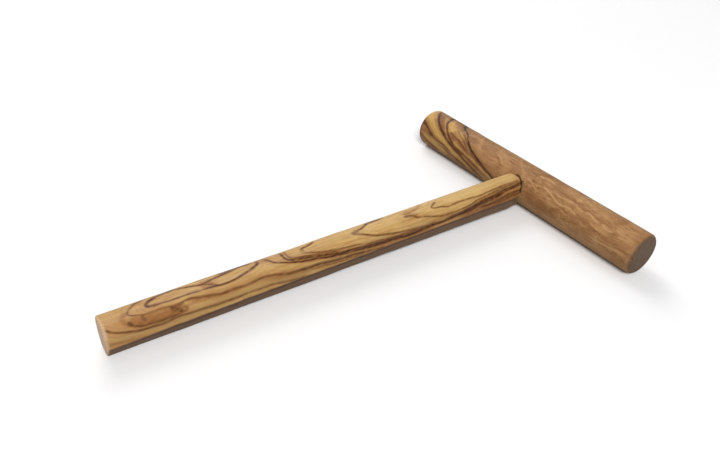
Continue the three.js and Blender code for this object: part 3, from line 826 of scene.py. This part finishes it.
class Nodes:
    """Short calls for building one material's node tree."""

    def __init__(self, name):
        self.material = bpy.data.materials.new(name)
        self.material.use_nodes = True
        self.tree = self.material.node_tree
        self.tree.nodes.clear()

    def add(self, kind, values=None, **settings):
        """A node. Values are numbers, colours or other nodes' sockets, by input name or index."""
        node = self.tree.nodes.new(kind)
        for setting, value in settings.items():
            setattr(node, setting, value)
        for key, value in (values or {}).items():
            if isinstance(value, bpy.types.NodeSocket):
                self.tree.links.new(value, node.inputs[key])
            else:
                node.inputs[key].default_value = value
        return node

    def math(self, operation, first, second=0.0, clamp=False):
        values = {0: first, 1: second}
        return self.add("ShaderNodeMath", values, operation=operation, use_clamp=clamp).outputs[0]

    def vector(self, operation, first, second):
        return self.add("ShaderNodeVectorMath", {0: first, 1: second}, operation=operation).outputs[0]

    def total(self, *parts):
        """The sum of sockets, each times its share."""
        scaled = [self.math("MULTIPLY", value, share) for value, share in parts]
        result = scaled[0]
        for part in scaled[1:]:
            result = self.math("ADD", result, part)
        return result

    def mask(self, name):
        return self.add("ShaderNodeAttribute", attribute_name=name).outputs["Fac"]

    def noise(self, place, stretch, detail=3.0, distortion=0.0, roughness=0.55, output="Fac"):
        values = {
            "Vector": self.vector("MULTIPLY", place, stretch),
            "Scale": 1.0,
            "Detail": detail,
            "Distortion": distortion,
            "Roughness": roughness,
        }
        return self.add("ShaderNodeTexNoise", values).outputs[output]

    def waver(self, place, stretch, reach):
        """The place moved about by smooth noise, so that straight fibres run in waves."""
        noise = self.noise(place, stretch, detail=1.0, roughness=0.5, output="Color")
        centred = self.vector("SUBTRACT", noise, (0.5, 0.5, 0.5))
        return self.vector("ADD", place, self.vector("MULTIPLY", centred, (reach,) * 3))

    def spread(self, value, low, high, to_low=0.0, to_high=1.0):
        """The value mapped from one range to another, smoothly."""
        values = {"Value": value, "From Min": low, "From Max": high, "To Min": to_low, "To Max": to_high}
        return self.add("ShaderNodeMapRange", values, interpolation_type="SMOOTHSTEP").outputs["Result"]

    def rings(self, place, axis, pith, pitch):
        """Growth rings round a pith, for the end grain: 0 to 0.5, with the pitch in mm."""
        flat = [1.0, 1.0, 1.0]
        flat["XYZ".index(axis)] = 0.0
        offset = self.vector("SUBTRACT", place, tuple(value * MM for value in pith))
        across = self.vector("MULTIPLY", offset, flat)
        distance = self.add("ShaderNodeVectorMath", {0: across}, operation="LENGTH").outputs["Value"]
        wave = self.math("SINE", self.math("MULTIPLY", distance, 2 * math.pi / (pitch * MM)))
        return self.spread(wave, -0.2, 1.0, 0.0, 0.5)

    def mix(self, share, first, second):
        """A share of the second colour over the first. The node's colour sockets are 6, 7 and out 2."""
        return self.add("ShaderNodeMix", {0: share, 6: first, 7: second}, data_type="RGBA").outputs[2]

    def finish(self, shader):
        output = self.tree.nodes.new("ShaderNodeOutputMaterial")
        self.tree.links.new(shader.outputs[0], output.inputs["Surface"])
        return self.material


def stretch(axis, along, across):
    """Noise cycles per metre when the pattern is so many mm long and across, for wood along an axis."""
    cycles = [1 / (across * MM)] * 3
    cycles["XYZ".index(axis)] = 1 / (along * MM)
    return tuple(cycles)


# The length and width of each pattern in the wood, in mm.
FIBRES = (9, 0.32)
STREAKS = (30, 0.95)
CLOUDS = (22, 9)
PORES = (1.6, 0.11)
BLOTCHES = (5, 2.4)
CURLS = (13, 4.5)
WAVES = (8, 5)
RING_PITCH = 0.9

FRAYING = 0.55
PIT_SHARE = 0.16
WEAR_SHARE = 0.45
WEAR_POLISH = 0.12
FIBRE_DULLNESS = 0.22

# How much the fibres fray the edge of each mask, in the order the masks are laid on.
RAGGEDNESS = {
    "warm": 0.2,
    "gold": 0.4,
    "pale": 0.5,
    "stain": 0.5,
    "painted_shade": 0.1,
    "dark": 0.3,
    "end": 0.2,
    "black": 0.1,
}


def wood_material(name, look, axis):
    """Oiled wood: fibres, streaks and pores along an axis, with the drawn figure over them."""
    nodes = Nodes(name)
    straight = nodes.add("ShaderNodeTexCoord").outputs["Object"]
    place = nodes.waver(straight, stretch(axis, *WAVES), look["waver"] * MM)
    fibres = nodes.noise(place, stretch(axis, *FIBRES), detail=4, distortion=0.3)
    streaks = nodes.noise(place, stretch(axis, *STREAKS), detail=4, distortion=0.5)
    clouds = nodes.noise(place, stretch(axis, *CLOUDS), detail=2)
    pores = nodes.noise(place, stretch(axis, *PORES), detail=1)

    blotches = nodes.noise(place, stretch(axis, *BLOTCHES), detail=4, roughness=0.65)
    mottle = nodes.math("SUBTRACT", blotches, 0.5)
    tone = nodes.total((streaks, 0.5), (fibres, 0.3), (clouds, 0.3), (mottle, look["mottle"]))
    colour = nodes.mix(nodes.spread(tone, 0.42, 0.68), linear(look["light"]), linear(look["deep"]))
    fray = nodes.math("SUBTRACT", fibres, 0.5)
    ragged = nodes.math("MULTIPLY", fray, FRAYING)
    bent = nodes.noise(place, stretch(axis, *CURLS), detail=3, distortion=2.2, roughness=0.6)
    ridge = nodes.math("ABSOLUTE", nodes.math("SUBTRACT", bent, 0.5))
    sheen = nodes.spread(ridge, 0.0, 0.045, 1.0, 0.0)
    curl = nodes.math("MULTIPLY", sheen, nodes.spread(clouds, 0.35, 0.6))
    colour = nodes.mix(nodes.math("MULTIPLY", curl, look["curl"]), colour, linear(look["pale"]))
    for kind, raggedness in RAGGEDNESS.items():
        mask = nodes.mask(kind)
        rough = nodes.math("MULTIPLY", ragged, raggedness)
        edge = nodes.math("MULTIPLY", rough, nodes.spread(mask, 0.0, 0.25))
        share = nodes.math("ADD", mask, edge, clamp=True)
        colour = nodes.mix(share, colour, linear(look[kind]))
    rings = nodes.rings(place, axis, look["pith"], RING_PITCH)
    colour = nodes.mix(nodes.math("MULTIPLY", rings, nodes.mask("end")), colour, linear(look["ring"]))
    pits = nodes.spread(pores, 0.62, 0.72)
    colour = nodes.mix(nodes.math("MULTIPLY", pits, PIT_SHARE), colour, linear(look["dark"]))
    wear = nodes.math("MULTIPLY", nodes.mask("edge"), nodes.spread(clouds, 0.25, 0.7, 0.35, 0.75))
    colour = nodes.mix(nodes.math("MULTIPLY", wear, WEAR_SHARE), colour, linear(look["stain"]))

    roughness = nodes.math("ADD", nodes.math("MULTIPLY", fray, FIBRE_DULLNESS), look["roughness"])
    roughness = nodes.math("SUBTRACT", roughness, nodes.math("MULTIPLY", wear, WEAR_POLISH))
    dark, black = nodes.mask("dark"), nodes.mask("black")
    relief = nodes.total((fibres, 0.6), (pits, -0.5), (dark, -0.35), (black, -2.5))
    bump = nodes.add("ShaderNodeBump", {"Height": relief, "Strength": 0.35, "Distance": 0.12 * MM})
    shader = nodes.add(
        "ShaderNodeBsdfPrincipled",
        {
            "Base Color": colour,
            "Roughness": roughness,
            "Normal": bump.outputs["Normal"],
            "IOR": 1.45,
            "Specular IOR Level": 0.2,
            "Sheen Weight": 0.02,
            "Sheen Roughness": 0.5,
        },
    )
    return nodes.finish(shader)


def glue_material():
    """Dried glue darkened by wood dust."""
    nodes = Nodes("dried_glue")
    place = nodes.add("ShaderNodeTexCoord").outputs["Object"]
    dust = nodes.noise(place, (DUST_SPECKS_PER_METRE,) * 3, detail=3)
    colour = nodes.mix(nodes.spread(dust, 0.45, 0.75), linear(GLUE_COLOUR), linear(GLUE_DUST_COLOUR))
    bump = nodes.add("ShaderNodeBump", {"Height": dust, "Strength": 0.5, "Distance": 0.08 * MM})
    values = {"Base Color": colour, "Roughness": 0.42, "Normal": bump.outputs["Normal"], "IOR": 1.48}
    return nodes.finish(nodes.add("ShaderNodeBsdfPrincipled", values))


# ------------ stage, light and camera

# The place is in metres from the floor under the crossbar's middle, the angles are in radians, and the
# lens and sensor are in mm.
CAMERA_PLACE = (-0.23162, -0.161545, 0.156763)
CAMERA_YAW = 0.70622
CAMERA_PITCH = 0.59227
CAMERA_ROLL = 0.11914
CAMERA_LENS = 34.0
SENSOR_WIDTH = 36.0
NEAREST_SEEN = 0.005

FLOOR_SIZE = 6.0
FLOOR_SHADE = 0.945
FLOOR_BOUNCE = 0.5
SKY_STRENGTH = 0.35
# Round softboxes that face the origin: name, place, width in metres and power in watts.
SOFTBOXES = (
    ("softbox_front", (-1.25, -1.50, 1.90), 1.2, 57.7),
    ("softbox_back", (0.20, 1.80, 1.80), 1.2, 12.8),
    ("softbox_low", (0.80, 1.65, 0.80), 1.4, 12.0),
)


def make_camera(bar_x):
    sin, cos = math.sin, math.cos
    forward = Vector(
        (sin(CAMERA_YAW) * cos(CAMERA_PITCH), cos(CAMERA_YAW) * cos(CAMERA_PITCH), -sin(CAMERA_PITCH))
    )
    level = Vector((cos(CAMERA_YAW), -sin(CAMERA_YAW), 0))
    upright = level.cross(forward)
    right = level * cos(CAMERA_ROLL) + upright * sin(CAMERA_ROLL)
    up = upright * cos(CAMERA_ROLL) - level * sin(CAMERA_ROLL)
    turn = Matrix((right, up, -forward)).transposed().to_4x4()
    data = bpy.data.cameras.new("camera")
    data.lens = CAMERA_LENS
    data.sensor_width = SENSOR_WIDTH
    data.sensor_fit = "HORIZONTAL"
    data.clip_start = NEAREST_SEEN
    camera = link_object("camera", data)
    place = Vector(CAMERA_PLACE) + Vector((bar_x * MM, 0, 0))
    camera.matrix_world = Matrix.Translation(place) @ turn
    bpy.context.scene.camera = camera


def make_floor():
    """A pale sheet. It looks white to the camera but throws only some of the light back up."""
    work = bmesh.new()
    bmesh.ops.create_grid(work, x_segments=2, y_segments=2, size=FLOOR_SIZE / 2)
    mesh = bpy.data.meshes.new("floor")
    work.to_mesh(mesh)
    work.free()
    floor = link_object("floor", mesh)
    nodes = Nodes("floor_sheet")
    seen = nodes.add("ShaderNodeLightPath").outputs["Is Camera Ray"]
    shades = [(shade, shade, shade, 1.0) for shade in (FLOOR_BOUNCE, FLOOR_SHADE)]
    shader = nodes.add("ShaderNodeBsdfDiffuse", {"Color": nodes.mix(seen, *shades)})
    mesh.materials.append(nodes.finish(shader))


def make_softboxes():
    for name, place, width, power in SOFTBOXES:
        data = bpy.data.lights.new(name, "AREA")
        data.shape = "DISK"
        data.size = width
        data.energy = power
        turn = (-Vector(place)).to_track_quat("-Z", "Y").to_matrix().to_4x4()
        link_object(name, data).matrix_world = Matrix.Translation(place) @ turn


def make_sky():
    world = bpy.data.worlds.new("studio")
    bpy.context.scene.world = world
    world.use_nodes = True
    background = world.node_tree.nodes["Background"]
    background.inputs["Color"].default_value = (1.0, 1.0, 1.0, 1.0)
    background.inputs["Strength"].default_value = SKY_STRENGTH


# ------------ putting it together


def show_piece(piece, node, material):
    """Hands a finished piece to the frame in place of its CAD node."""
    piece.data.materials.append(material)
    piece.data.set_sharp_from_angle(angle=math.radians(SHARP_ANGLE))
    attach(piece, "root")
    if node:
        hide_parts(node)


def main():
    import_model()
    bpy.context.scene.view_settings.view_transform = "Standard"

    bar_low, bar_high = (np.array(corner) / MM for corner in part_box("crossbar"))
    bar_x, bar_z = (bar_low[0] + bar_high[0]) / 2, (bar_low[2] + bar_high[2]) / 2
    bar_radius = (bar_high[2] - bar_low[2]) / 2
    half_length = (bar_high[1] - bar_low[1]) / 2

    crossbar = make_crossbar(bar_x, bar_z, bar_radius, half_length)
    figure_crossbar(crossbar, bar_x, bar_z, bar_radius, half_length)
    show_piece(crossbar, "crossbar", wood_material("crossbar_olive", CROSSBAR_LOOK, "Y"))

    handle = make_handle(bar_x, bar_z, bar_radius)
    figure_handle(handle, bar_x - HANDLE_REACH)
    show_piece(handle, "handle", wood_material("handle_olive", HANDLE_LOOK, "X"))

    dowel = make_dowel(bar_x, bar_z, bar_radius)
    plain_figure(dowel)
    show_piece(dowel, "dowel_pin", wood_material("dowel_beech", DOWEL_LOOK, "X"))

    glue = make_glue_line(bar_x, bar_z, bar_radius)
    show_piece(glue, None, glue_material())

    make_floor()
    make_softboxes()
    make_sky()
    make_camera(bar_x)


main()
